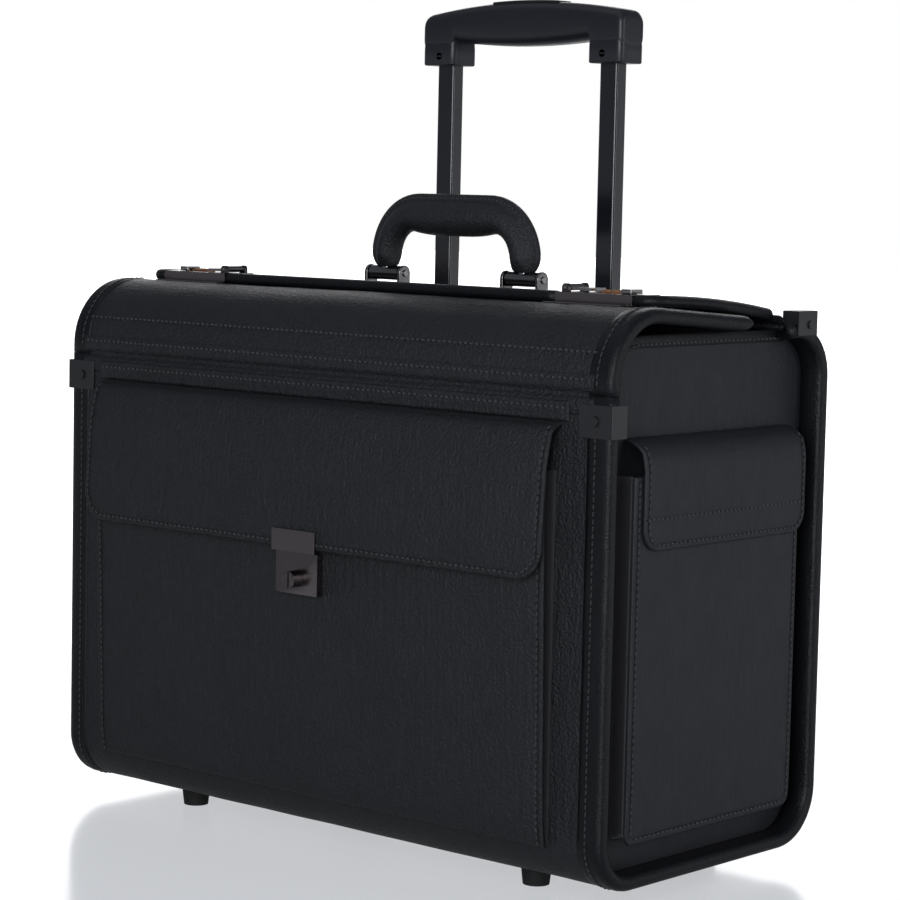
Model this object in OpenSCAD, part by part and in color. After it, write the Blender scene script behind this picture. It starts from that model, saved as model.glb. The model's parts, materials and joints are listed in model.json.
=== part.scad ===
// Pilot rolling flight case: bent leather-covered body, two lids, locks, pockets, trolley and wheels.
// Millimetres. +Z up, +X to the right seen from the front, front face towards -Y.
// Origin: floor level, at the middle of the whole object's width and depth.

/* [Case body] */
// Width over the two rim bindings
case_w = 480; // [440:5:500]
// Depth from the front face to the rear face
case_d = 227; // [220:1:240]
// Height of the body's underside above the floor
foot_h = 13; // [12:1:16]
// Height of the fixed rear top strip
rear_top = 352; // [350:1:354]
// Thickness of the leather-covered board
board_t = 4; // [3:0.5:4]
// Thickness of the padded rim binding
rim_t = 8.5; // [7:0.5:9]
// Width of the rim binding along X
rim_w = 9; // [8:0.5:9]
// Depth of the end panels' recess inside the rims
end_inset = 16.5; // [15:0.5:17]
// Outer radius of the front bottom edge
front_bottom_r = 32; // [28:1:34]
// Outer radius of the rear bottom edge
rear_bottom_r = 37; // [35:1:38]
// Outer radius of the rear top edge
rear_top_r = 34; // [32:1:35]

/* [Lids] */
// Height of the front lid's leather hinge line
front_hinge_z = 314; // [312:1:315]
// Height of the front lid's top
lid_top = 365; // [364:1:366]
// Outer radius of the front lid's rounded edge
lid_r = 45; // [44:1:46]
// Rear edge of the front lid's top panel
lid_split_y = 56.8; // [56:0.1:57]
// Rear tip of the front lid's two side arms
arm_tip_y = 141; // [135:1:145]
// Width of the rear lid over its frame
rear_lid_w = 455; // [450:1:456]
// Width of the rear lid's frame bead
frame_w = 7; // [6:0.5:8]

/* [Pockets] */
// Half width of the front pocket
pocket_hw = 200; // [195:1:202]
// Half width of the front flap
flap_hw = 203.5; // [203:0.5:205]
// Thickness of pocket and flap leather
leather_t = 2.4; // [2:0.1:2.4]

/* [Handle] */
// Height of the carry handle's crown
handle_top = 430; // [428:1:432]
// Distance from the centre to each handle leg's axis
handle_leg_x = 61.5; // [60:0.5:63]

/* [Trolley] */
// Distance from the centre to each tube's axis
tube_x = 73; // [72:0.5:74]
// Distance of the tubes' axes behind the front face
tube_y = 205; // [204:0.5:206]
// Width of the upper tube along X
tube_w = 15; // [14:0.5:15]
// Depth of the upper tube along Y
tube_d = 11.5; // [11:0.5:12]
// Height of the grip's crown at rest
grip_top = 562.5; // [560:0.5:565]

/* [Wheels] */
// Wheel radius
wheel_r = 25; // [24:0.5:25]
// Distance from the centre to each wheel
wheel_x = 150; // [145:1:155]

/* [Hidden] */
$fn = 64;
eps = 0.01;
front_reach = 25;
rear_reach = 4;
front_y = front_reach - (case_d + front_reach + rear_reach) / 2;
rim_x = case_w / 2 - rim_w;
end_x = case_w / 2 - end_inset;
end_t = 4;
fit = 0.05;
gap = 0.4;

// Rear top strip and the rear lid's hinge
strip_y = 190;
rear_hinge_y = 187;
rear_hinge_z = 356;
wall_top = front_hinge_z - 0.5;
lid_bottom = front_hinge_z + 0.5;

// Crowned height of the rear lid's mid surface: a parabola falling towards the hinge
crown_z = 368;
crown_drop = 11;
rear_lid_y0 = 57.5;
rear_lid_y1 = 184;
function lid_z(y) = crown_z - crown_drop * pow((y - 55) / 130, 2);

// Locks
lock_x0 = 147.5;
lock_x1 = 208;
lock_z0 = 364.2;
lock_z1 = 371.7;
lock_d = 28;
dial_r = 4.6;
dial_w = 4.5;
dial_z = 369.3;
dial_y = rear_lid_y0 + 14;
dial_xs = [177, 183.5, 190];
axle_r = 1;
slider_x = 199;
hasp_pin_x = 152.5;
hasp_pin_z = 374.4;
hasp_r = 1.1;

// Handle pivot on the rear lid
handle_y = 130;
pivot_z = lid_z(handle_y) + 2.5 + 8;
pin_r = 2;
leg_r = 10;
roll_r = 14;

// Front pocket: the panel leans out towards its mouth
pocket_z0 = 38.5;
pocket_z1 = 269;
pocket_out0 = 7;
pocket_out1 = 13.5;
function pocket_y(z) = -pocket_out0 - (pocket_out1 - pocket_out0) * (z - pocket_z0) / (pocket_z1 - pocket_z0);
lock_plate_z0 = 172;
lock_plate_z1 = 199;
lock_face_y = -17.5;
knob_z = 182;
knob_r = 5.5;
knob_back = front_reach - 14.5;

// Side pockets
side_y0 = 26;
side_y1 = 198;
side_z0 = 40;
side_z1 = 265;
side_out = 15.5;

// Trolley tubes, one inside another
tube_wall = 1.2;
slide_gap = 0.4;
mid_w = tube_w + 2 * slide_gap + 2 * tube_wall;
mid_d = tube_d + 2 * slide_gap + 2 * tube_wall;
out_w = mid_w + 2 * slide_gap + 2 * tube_wall;
out_d = mid_d + 2 * slide_gap + 2 * tube_wall;
bezel_w = 30;
bezel_d = 24;
bezel_z0 = 338;
bezel_z1 = 354.5;
ferrule_z = 520;
grip_hw = 89;
grip_d = 26;

// Rim clips: metal thickness, and the rear ones' span
clip_t = 1.5;
clip_y0 = 188;
clip_y1 = 209;
clip_z0 = 345;
clip_z1 = 361;

// Wheels and their housings
wheel_w = 22;
wheel_y = 206;
wheel_z = wheel_r;
axle_wheel_r = 3;
housing_hw = 20;
housing_y0 = 170;
housing_z1 = 62;

// ---------- helpers ----------

// Moves a shape from the case's own Y, counted from its front face, into the frame
module at_case() translate([0, front_y, 0]) children();

// Extrudes an outline drawn in (Y, Z) along X, centred on x
module along_x(w, x = 0) translate([x - w / 2, 0, 0]) rotate([90, 0, 90]) linear_extrude(w) children();

// Extrudes an outline drawn in (X, Z) along Y, from y0 to y1
module along_y(y0, y1) translate([0, y1, 0]) rotate([90, 0, 0]) linear_extrude(y1 - y0) children();

// Draws a shape on the right-hand side, and its mirror image on the left
module both_sides() {
    children();
    mirror([1, 0, 0]) children();
}

module box(x0, x1, y0, y1, z0, z1) translate([x0, y0, z0]) cube([x1 - x0, y1 - y0, z1 - z0]);

// Rectangle with its own radius at each corner: bottom left, bottom right, top right, top left
module round_rect(x0, y0, x1, y1, r) {
    corners = [[x0, y0, 1, 1], [x1, y0, -1, 1], [x1, y1, -1, -1], [x0, y1, 1, -1]];
    difference() {
        translate([x0, y0]) square([x1 - x0, y1 - y0]);
        for (i = [0:3]) if (r[i] > 0) {
            c = corners[i];
            translate([c[0] - (c[2] < 0 ? r[i] : eps), c[1] - (c[3] < 0 ? r[i] : eps)])
                square(r[i] + eps);
        }
    }
    for (i = [0:3]) if (r[i] > 0) {
        c = corners[i];
        translate([c[0] + c[2] * r[i], c[1] + c[3] * r[i]]) circle(r[i]);
    }
}

// The body's side outline, moved inwards by g
module side_outline(g) round_rect(
    g, foot_h + g, case_d - g, rear_top - g,
    [front_bottom_r - g, rear_bottom_r - g, rear_top_r - g, 0]
);

// Space above the front wall and in front of the rear top strip
module mouth_cut() translate([-1, wall_top]) square([strip_y + 1, 100]);

// A band of the body's outline, t thick, open at the mouth
module body_band(t) difference() {
    side_outline(0);
    side_outline(t);
    mouth_cut();
}

// The front lid's side outline, moved inwards by g: a quarter round running into the flat top
module lid_outline(g) difference() {
    round_rect(g, lid_bottom - 60, 90, lid_top - g, [0, 0, 0, lid_r - g]);
    translate([-1, lid_bottom - 61]) square([100, 61]);
}

// The trolley housing's outline at the rear bottom corner
module housing_outline(g) intersection() {
    side_outline(g);
    translate([housing_y0, 0]) square([80, housing_z1]);
}

// Follows the rear lid's crown between two offsets from its mid surface
module crown_band(low, high) polygon(concat(
    [for (y = [50:9:194]) [y, lid_z(y) + high]],
    [for (y = [194:-9:50]) [y, lid_z(y) + low]]
));

// ---------- case body ----------

module wrap_shell() color("#26282c") at_case() difference() {
    along_x(2 * rim_x) body_band(board_t);
    both_sides() {
        box(tube_x - bezel_w / 2, tube_x + bezel_w / 2, tube_y - bezel_d / 2, tube_y + bezel_d / 2, 330, 360);
        along_x(2 * housing_hw, wheel_x) translate([housing_y0, 0]) square([80, housing_z1]);
    }
}

module end_outline() {
    intersection() {
        side_outline(board_t);
        translate([0, 0]) square([case_d, wall_top]);
    }
    intersection() {
        side_outline(board_t);
        round_rect(6.5, 200, case_d, rear_top - board_t, [0, 0, 0, 38]);
    }
}

module end_panel() color("#2a2c30") at_case() along_x(end_t, end_x - end_t / 2) end_outline();
module right_end_panel() end_panel();
module left_end_panel() mirror([1, 0, 0]) end_panel();

module rim_binding() color("#1c1d20") at_case() along_x(rim_w, rim_x + rim_w / 2) body_band(rim_t);
module right_rim_binding() rim_binding();
module left_rim_binding() mirror([1, 0, 0]) rim_binding();

module front_welt_strip() color("#26282c") at_case() box(-208, 208, -2, 0, 299, 310);

module front_pocket_panel() color("#26282c") at_case() along_x(2 * pocket_hw) polygon([
    [pocket_y(pocket_z0), pocket_z0],
    [pocket_y(pocket_z1), pocket_z1],
    [pocket_y(pocket_z1) + leather_t, pocket_z1],
    [pocket_y(pocket_z0) + leather_t, pocket_z0]
]);

// Wedge-shaped bellows at both sides and along the bottom
module front_pocket_gussets() color("#1a1b1e") at_case() {
    both_sides() along_x(3, pocket_hw - 1.5) polygon([
        [pocket_y(pocket_z0) + leather_t, pocket_z0],
        [pocket_y(pocket_z1) + leather_t, pocket_z1],
        [0, pocket_z1],
        [0, pocket_z0]
    ]);
    box(-pocket_hw + 3, pocket_hw - 3, pocket_y(pocket_z0) + leather_t + 0.15, 0, pocket_z0, pocket_z0 + 3);
}

module front_lock_plate() color("#3a3634") at_case() difference() {
    along_x(36.8) polygon([
        [lock_face_y, lock_plate_z0],
        [lock_face_y, lock_plate_z1],
        [pocket_y(lock_plate_z1), lock_plate_z1],
        [pocket_y(lock_plate_z0), lock_plate_z0]
    ]);
    translate([0, lock_face_y - 1, knob_z]) rotate([-90, 0, 0]) cylinder(r = knob_r + fit, h = 7);
}

// Push knob with a slot, running in the lock plate's bore
module front_lock_knob() color("#201e1e") at_case() difference() {
    translate([0, -front_reach, knob_z]) rotate([-90, 0, 0]) cylinder(r = knob_r, h = knob_back);
    box(-0.8, 0.8, -front_reach - 1, -front_reach + 1, knob_z - 8, knob_z + 8);
}

module side_pocket() color("#2a2c30") at_case()
    along_x(leather_t, end_x + side_out - leather_t / 2)
        round_rect(side_y0, side_z0, side_y1, side_z1, [8, 8, 2, 2]);
module right_side_pocket() side_pocket();
module left_side_pocket() mirror([1, 0, 0]) side_pocket();

module side_pocket_gussets() color("#1a1b1e") at_case() both_sides() {
    x1 = end_x + side_out - leather_t;
    difference() {
        along_x(x1 - end_x, (x1 + end_x) / 2) round_rect(side_y0, side_z0, side_y1, side_z1, [8, 8, 0, 0]);
        along_x(30, end_x + 5) round_rect(side_y0 + 3, side_z0 + 3, side_y1 - 3, side_z1 + 9, [5, 5, 0, 0]);
    }
}

// Bent black clips over the rim's open ends
module front_corner_clips() color("#202124") at_case() both_sides() {
    box(216, case_w / 2, -clip_t, 0, 289, 309);
    box(case_w / 2, case_w / 2 + clip_t, -clip_t, 13, 289, 309);
}

// Square end brackets that stand on the rim beside the rear lid's hinge
module rear_corner_clips() color("#202124") at_case() both_sides() {
    x0 = rear_lid_w / 2 + 1;
    along_x(case_w / 2 - x0, (case_w / 2 + x0) / 2) difference() {
        translate([clip_y0, rear_top - 10]) square([clip_y1 - clip_y0, clip_z1 - rear_top + 10]);
        difference() {
            side_outline(0);
            translate([0, 0]) square([strip_y, 400]);
        }
        translate([0, 0]) square([strip_y + eps, rear_top]);
    }
    box(case_w / 2, case_w / 2 + clip_t, clip_y0, clip_y1, clip_z0, clip_z1);
}

module clip_rivets() color("#2c2d30") at_case() both_sides() {
    translate([228, -clip_t, 299]) rotate([90, 0, 0]) cylinder(r = 3.2, h = 1.4);
    translate([case_w / 2 + clip_t, 201, 352]) rotate([0, 90, 0]) cylinder(r = 2.6, h = 1.2);
}

module main_lining() color("#3c3d42") at_case() difference() {
    along_x(2 * (end_x - end_t)) intersection() {
        side_outline(board_t);
        square([187.5, 299]);
    }
    along_x(2 * (end_x - end_t) - 2) side_outline(board_t + 1);
    both_sides() along_x(2 * housing_hw, wheel_x) translate([housing_y0, 0]) square([80, housing_z1]);
}

module padded_divider() color("#3c3d42") at_case() box(-218, 218, 100, 108, 18.5, 300);

module trolley_cover_panel() color("#303136") at_case() difference() {
    box(-219, 219, 187.8, 189.8, 17.2, 346);
    both_sides() along_x(2 * housing_hw, wheel_x) translate([housing_y0, 0]) square([80, housing_z1]);
}

// ---------- trolley ----------

// Rounded rectangular tube section around the two tube axes
module tube_section(w, d, r) translate([tube_x, tube_y])
    round_rect(-w / 2, -d / 2, w / 2, d / 2, [r, r, r, r]);

module tube_pair(w, d, r, wall, z0, z1) both_sides() difference() {
    translate([0, 0, z0]) linear_extrude(z1 - z0) tube_section(w, d, r);
    translate([0, 0, z0 - 1]) linear_extrude(z1 - z0 + 2)
        tube_section(w - 2 * wall, d - 2 * wall, r - wall + 0.4);
}

module outer_tubes() color("#8a8c90") at_case() tube_pair(out_w, out_d, 3.4, tube_wall, 31.5, bezel_z0);

module trolley_bezels() color("#18191b") at_case() both_sides() difference() {
    translate([0, 0, bezel_z0]) linear_extrude(bezel_z1 - bezel_z0) tube_section(bezel_w, bezel_d, 0.5);
    translate([0, 0, bezel_z0 - 1]) linear_extrude(30)
        tube_section(mid_w + 2 * slide_gap, mid_d + 2 * slide_gap, 2.8);
}

// Steel bracket under the tubes' feet, with an upright ear at each end
module trolley_base_bracket() color("#8a8c90") at_case() {
    box(-95, 95, 193, 214, 29, 31.5);
    both_sides() box(88, 92, 193, 214, 31.5, 60);
}

module middle_tubes() color("#707276") at_case() {
    tube_pair(mid_w, mid_d, 2.6, tube_wall, 33, 349);
    tube_pair(mid_w, mid_d, 2.6, 1.4, 349, 356);
}

module inner_tubes() color("#1b1c1f") at_case() tube_pair(tube_w, tube_d, 2, tube_wall, 185, ferrule_z + 12);

// Outline of the grip in (X, Z): a bowed bar with two ferrules
module grip_outline() difference() {
    crown_r = 522;
    belly_r = 340;
    intersection() {
        translate([0, grip_top - crown_r]) circle(crown_r, $fn = 128);
        round_rect(-grip_hw, ferrule_z, grip_hw, grip_top + 5, [2, 2, 14, 14]);
    }
    intersection() {
        translate([0, 537 - belly_r]) circle(belly_r, $fn = 128);
        round_rect(-59.5, ferrule_z - 30, 59.5, 545, [0, 0, 7, 7]);
    }
}

module trolley_grip() color("#17181a") at_case() difference() {
    along_y(tube_y - grip_d / 2, tube_y + grip_d / 2) grip_outline();
    box(-29, 29, tube_y - 8, tube_y + 8, 549, 570);
    both_sides() translate([0, 0, ferrule_z - 1]) linear_extrude(13) tube_section(tube_w, tube_d, 2);
    both_sides() translate([tube_x, tube_y - grip_d / 2 - 1, 526]) rotate([-90, 0, 0]) cylinder(r = 2.6, h = 3);
}

// Screws that hold the grip on the upper tubes
module grip_screws() color("#55585c") at_case() both_sides()
    translate([tube_x, tube_y - grip_d / 2, 526]) rotate([-90, 0, 0]) difference() {
        cylinder(r = 2.6, h = 2);
        translate([-2, -0.4, -eps]) cube([4, 0.8, 0.8]);
    }

module release_button() color("#101113") at_case() along_y(tube_y - 7.6, tube_y + 7.6) intersection() {
    translate([0, grip_top + 1 - 522]) circle(522, $fn = 128);
    round_rect(-28.6, 553, 28.6, 570, [1, 1, 3, 3]);
}

// ---------- wheels and feet ----------

module wheel_housings() color("#151618") at_case() both_sides() difference() {
    along_x(2 * housing_hw, wheel_x) housing_outline(-0.5);
    translate([wheel_x - wheel_w / 2 - 1, wheel_y, wheel_z]) rotate([0, 90, 0])
        cylinder(r = wheel_r + 2.5, h = wheel_w + 2);
    translate([wheel_x - 30, wheel_y, wheel_z]) rotate([0, 90, 0]) cylinder(r = axle_wheel_r, h = 60);
}

module wheel_axles() color("#9a9c9f") at_case() both_sides()
    translate([wheel_x - housing_hw, wheel_y, wheel_z]) rotate([0, 90, 0])
        cylinder(r = axle_wheel_r, h = 2 * housing_hw);

// Soft tyre on a spoked hub, one turned body with its bore
module wheel() color("#202020") at_case() translate([wheel_x, wheel_y, wheel_z]) rotate([0, 90, 0])
    rotate_extrude() difference() {
        round_rect(axle_wheel_r + fit, -wheel_w / 2, wheel_r, wheel_w / 2, [0, 4, 4, 0]);
        for (s = [-1, 1]) translate([14, s * wheel_w / 2]) square([10, 6], center = true);
    }
module right_wheel() wheel();
module left_wheel() mirror([1, 0, 0]) wheel();

module front_feet() color("#141414") at_case() both_sides()
    translate([155, 44, 0]) cylinder(r1 = 8.5, r2 = 10, h = foot_h);

// ---------- front lid ----------

module front_lid_panel() color("#26282c") at_case() along_x(2 * rim_x) difference() {
    intersection() {
        lid_outline(0);
        square([lid_split_y, 400]);
    }
    lid_outline(board_t);
}

// Binding bead over the quarter round, and the arm that runs back along the rim
module front_lid_bindings() color("#1c1d20") at_case() both_sides() {
    along_x(rim_w, rim_x + rim_w / 2) difference() {
        intersection() {
            lid_outline(0);
            square([lid_r, 400]);
        }
        lid_outline(rim_t);
    }
    tip_r = rim_t / 2;
    fall = 7;
    along_x(rim_w, rim_x + rim_w / 2) {
        polygon([
            [lid_r, lid_top],
            [arm_tip_y - tip_r, lid_top - fall],
            [arm_tip_y - tip_r, lid_top - fall - rim_t],
            [lid_r, lid_top - rim_t]
        ]);
        intersection() {
            translate([arm_tip_y - tip_r, lid_top - fall - tip_r]) circle(tip_r);
            translate([arm_tip_y - tip_r, 300]) square(100);
        }
    }
}

// Thin metal plates that the lock boxes close against
module lock_strikers() color("#8f8c8a") at_case() both_sides()
    box(146, 206, 47, lid_split_y, lid_top, lid_top + 0.8);

// ---------- rear lid ----------

module rear_lid_plan(g) round_rect(
    -rear_lid_w / 2 + g, rear_lid_y0 + g, rear_lid_w / 2 - g, rear_lid_y1 - g,
    [16 - g, 16 - g, 3, 3]
);

module lock_cut() both_sides()
    box(lock_x0, lock_x1, rear_lid_y0 - 1, rear_lid_y0 + lock_d, 350, 380);

module rear_lid_panel() color("#26282c") at_case() difference() {
    intersection() {
        along_x(rear_lid_w) crown_band(-1.5, 2.5);
        linear_extrude(400) rear_lid_plan(frame_w);
    }
    lock_cut();
}

module rear_lid_frame() color("#1c1d20") at_case() difference() {
    intersection() {
        along_x(rear_lid_w) crown_band(-3.5, 3.5);
        linear_extrude(400) difference() {
            rear_lid_plan(0);
            rear_lid_plan(frame_w);
        }
    }
    lock_cut();
}

// Two ears and a foot plate at each end of the carry handle
module handle_brackets() color("#9b9da1") at_case() both_sides() difference() {
    foot_z = lid_z(handle_y - 5.5) + 2.6;
    union() {
        for (x = [handle_leg_x - 16.5, handle_leg_x + 14]) along_x(2.5, x + 1.25) {
            translate([handle_y, pivot_z]) circle(5.5);
            translate([handle_y - 5.5, foot_z]) square([11, pivot_z - foot_z]);
        }
        intersection() {
            along_x(33, handle_leg_x) crown_band(2.52, 4);
            box(0, 100, handle_y - 9, handle_y + 9, 350, 400);
        }
    }
    translate([0, handle_y, pivot_z]) rotate([0, 90, 0]) cylinder(r = pin_r + fit, h = 100);
}

module handle_pins() color("#b4b6b9") at_case() both_sides()
    translate([handle_leg_x - 17.5, handle_y, pivot_z]) rotate([0, 90, 0]) cylinder(r = pin_r, h = 35);

// Metal barrels on the pins, with a tongue up into each handle leg
module handle_end_loops() color("#9b9da1") at_case() both_sides() difference() {
    union() {
        translate([handle_leg_x - 13, handle_y, pivot_z]) rotate([0, 90, 0]) cylinder(r = 5, h = 26);
        translate([handle_leg_x, handle_y, pivot_z]) cylinder(r = 4, h = 9);
    }
    translate([0, handle_y, pivot_z]) rotate([0, 90, 0]) cylinder(r = pin_r + fit, h = 100);
}

// Padded arch: two legs, two bends and a thicker roll across the top
module handle_grip() color("#202226") at_case() {
    bend_r = 26;
    leg_z = pivot_z + 9;
    bend_z = handle_top - roll_r - bend_r;
    both_sides() {
        translate([handle_leg_x, handle_y, leg_z]) cylinder(r = leg_r, h = bend_z - leg_z);
        translate([handle_leg_x - bend_r, handle_y, bend_z]) rotate([90, 0, 0])
            rotate_extrude(angle = 90) translate([bend_r, 0]) circle(leg_r);
    }
    translate([-handle_leg_x + bend_r, handle_y, handle_top - roll_r]) rotate([0, 90, 0])
        cylinder(r = roll_r, h = 2 * (handle_leg_x - bend_r));
}

// ---------- combination locks ----------

module lock_base() at_case() difference() {
    union() {
        box(lock_x0, lock_x1, rear_lid_y0, rear_lid_y0 + lock_d, lock_z0, lock_z1);
        for (y = [dial_y - 10.5, dial_y + 7.5]) along_y(y, y + 3) {
            translate([hasp_pin_x, hasp_pin_z]) circle(2.6);
            translate([hasp_pin_x - 2.6, lock_z1 - 0.5]) square([5.2, hasp_pin_z - lock_z1 + 0.5]);
        }
    }
    for (x = dial_xs)
        box(x - dial_w / 2 - gap, x + dial_w / 2 + gap, dial_y - dial_r - gap, dial_y + dial_r + gap, 350, 380);
    translate([172, dial_y, dial_z]) rotate([0, 90, 0]) cylinder(r = axle_r, h = 23);
    translate([hasp_pin_x, 0, hasp_pin_z]) rotate([-90, 0, 0]) cylinder(r = hasp_r + fit, h = 200);
    box(slider_x - 4.5, slider_x + 4.5, dial_y - 2.5, dial_y + 2.5, lock_z1 - 3, lock_z1 + 1);
}
module lock_bases() color("#4a4644") both_sides() lock_base();

module dial_axles() color("#9a9c9f") at_case() both_sides()
    translate([172, dial_y, dial_z]) rotate([0, 90, 0]) cylinder(r = axle_r, h = 23);

// Knurled number wheel
module dial(i) color("#b88a5a") at_case() translate([dial_xs[i] - dial_w / 2, dial_y, dial_z])
    rotate([0, 90, 0]) difference() {
        cylinder(r = dial_r, h = dial_w);
        translate([0, 0, -1]) cylinder(r = axle_r + fit, h = dial_w + 2);
        for (a = [18:36:342]) rotate(a) translate([dial_r + 0.3, 0, -1]) cylinder(r = 0.7, h = dial_w + 2);
    }
module right_dial_outer() dial(2);
module right_dial_middle() dial(1);
module right_dial_inner() dial(0);
module left_dial_outer() mirror([1, 0, 0]) dial(2);
module left_dial_middle() mirror([1, 0, 0]) dial(1);
module left_dial_inner() mirror([1, 0, 0]) dial(0);

// Opening slide: a ribbed cap on a stem in the base's slot
module lock_slider() color("#a7a8aa") at_case() {
    box(slider_x - 6, slider_x + 2, dial_y - 6, dial_y + 6, lock_z1 + 0.3, lock_z1 + 3.2);
    box(slider_x - 4, slider_x, dial_y - 2, dial_y + 2, lock_z1 - 2.5, lock_z1 + 0.3);
}
module right_lock_slider() lock_slider();
module left_lock_slider() mirror([1, 0, 0]) lock_slider();

// Hinged hasp with two windows, turning on its own pin
module hasp() color("#a7a8aa") at_case() {
    difference() {
        box(hasp_pin_x, 171, dial_y - 7, dial_y + 7, lock_z1 + 1, lock_z1 + 2.8);
        for (x = [156.5, 163.5]) box(x, x + 5.5, dial_y - 4, dial_y + 4, 370, 380);
    }
    along_y(dial_y - 7, dial_y + 7) translate([hasp_pin_x, hasp_pin_z]) circle(2.2);
    along_y(dial_y - 10.5, dial_y + 10.5) translate([hasp_pin_x, hasp_pin_z]) circle(hasp_r);
}
module right_hasp() hasp();
module left_hasp() mirror([1, 0, 0]) hasp();

// ---------- flaps ----------

// Flap leather from its hinge under the welt strip, over the pocket's mouth, to its hem
module front_flap() color("#26282c") at_case() intersection() {
    along_x(2 * flap_hw) polygon([
        [-1.8, 297.4], [-11.5, 293], [-16.5, 272], [-19.5, 225], [-19.5, 202],
        [-17.1, 202], [-17.1, 225], [-14.1, 271.5], [-9.6, 291], [-1.8, 294.9]
    ]);
    along_y(-40, 10) round_rect(-flap_hw, 202, flap_hw, 310, [20, 20, 5, 5]);
}

module front_flap_catch() color("#3a3634") at_case() box(-19.2, 19.2, -21.4, -19.5, 199.5, 214);

// Side flap leather, hinged on the end panel above the pocket's mouth
module side_flap() color("#2a2c30") at_case() intersection() {
    x0 = end_x + 0.5;
    x1 = end_x + side_out + 3;
    along_y(32.7, 201) polygon([
        [x0, 287], [x0 + 3, 287], [x1 - 3, 282], [x1, 276], [x1, 219.3],
        [x1 - leather_t, 219.3], [x1 - leather_t, 275], [x1 - 5, 279.6], [x0 + 2.5, 284.4], [x0, 284.4]
    ]);
    along_x(60, x0) round_rect(32.7, 219.3, 201, 300, [14, 14, 5, 5]);
}
module right_side_flap() side_flap();
module left_side_flap() mirror([1, 0, 0]) side_flap();

wrap_shell();
left_end_panel();
right_end_panel();
left_rim_binding();
right_rim_binding();
front_welt_strip();
front_pocket_panel();
front_pocket_gussets();
front_lock_plate();
left_side_pocket();
right_side_pocket();
side_pocket_gussets();
front_corner_clips();
rear_corner_clips();
clip_rivets();
main_lining();
padded_divider();
trolley_cover_panel();
outer_tubes();
trolley_bezels();
trolley_base_bracket();
wheel_housings();
wheel_axles();
front_feet();
front_lid_panel();
front_lid_bindings();
lock_strikers();
rear_lid_panel();
rear_lid_frame();
handle_brackets();
lock_bases();
dial_axles();
handle_pins();
handle_grip();
handle_end_loops();
left_dial_outer();
left_dial_middle();
left_dial_inner();
right_dial_outer();
right_dial_middle();
right_dial_inner();
left_lock_slider();
right_lock_slider();
left_hasp();
right_hasp();
front_flap();
front_flap_catch();
front_lock_knob();
left_side_flap();
right_side_flap();
middle_tubes();
inner_tubes();
trolley_grip();
grip_screws();
release_button();
left_wheel();
right_wheel();
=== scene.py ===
"""Looks of the pilot rolling flight case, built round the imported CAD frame. Metres throughout."""

import json
import math

import bmesh
import bpy
import numpy as np
from mathutils import Matrix, Vector


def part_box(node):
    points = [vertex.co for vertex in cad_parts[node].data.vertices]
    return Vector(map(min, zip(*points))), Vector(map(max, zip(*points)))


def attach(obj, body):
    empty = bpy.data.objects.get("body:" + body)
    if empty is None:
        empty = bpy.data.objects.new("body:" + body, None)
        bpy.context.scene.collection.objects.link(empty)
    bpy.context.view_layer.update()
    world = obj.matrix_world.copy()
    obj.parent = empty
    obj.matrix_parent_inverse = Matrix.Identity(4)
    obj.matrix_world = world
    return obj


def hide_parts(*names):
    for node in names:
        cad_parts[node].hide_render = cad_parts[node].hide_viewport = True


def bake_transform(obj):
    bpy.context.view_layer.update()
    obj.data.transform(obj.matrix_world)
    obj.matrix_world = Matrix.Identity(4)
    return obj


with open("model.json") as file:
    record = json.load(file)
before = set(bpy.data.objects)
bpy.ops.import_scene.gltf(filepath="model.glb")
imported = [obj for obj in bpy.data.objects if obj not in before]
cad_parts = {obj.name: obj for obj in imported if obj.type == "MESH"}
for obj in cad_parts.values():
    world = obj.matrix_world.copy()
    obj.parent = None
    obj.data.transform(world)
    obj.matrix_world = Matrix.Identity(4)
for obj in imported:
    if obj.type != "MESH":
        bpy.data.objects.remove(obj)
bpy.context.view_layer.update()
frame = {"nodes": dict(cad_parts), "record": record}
NODES = frame["nodes"]
MM = 0.001
rng = np.random.default_rng(7)

# ---------- places and sizes, read from the frame ----------

wrap_lo, wrap_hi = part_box("wrap_shell")
FRONT = wrap_lo.y


def in_mm(length):
    """A length in the frame as millimetres, to a tenth."""
    return round(length / MM, 1)


# The wrapped board in mm: half width, depth, bottom, top and the radii of its three bends
HALF, DEPTH = in_mm(wrap_hi.x), in_mm(wrap_hi.y - FRONT)
BOTTOM, TOP = in_mm(wrap_lo.z), in_mm(wrap_hi.z)
FRONT_R, REAR_R, TOP_R = 32, 37, 34
# The front lid in mm: its top and the radius of its rounded front
LID_TOP, LID_R = in_mm(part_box("front_lid_panel")[1].z), 45


def ripple(a, b, size):
    """Smooth unevenness of stretched leather, in metres, for two surface coordinates in metres."""
    wave = math.sin(31 * a + 1.3 + 9 * b) + 0.7 * math.sin(53 * b - 17 * a + 0.4)
    wave += 0.5 * math.sin(97 * a + 41 * b + 2.1) + 0.35 * math.sin(143 * b + 77 * a)
    return wave * size / 2.5


# ---------- materials ----------


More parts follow.
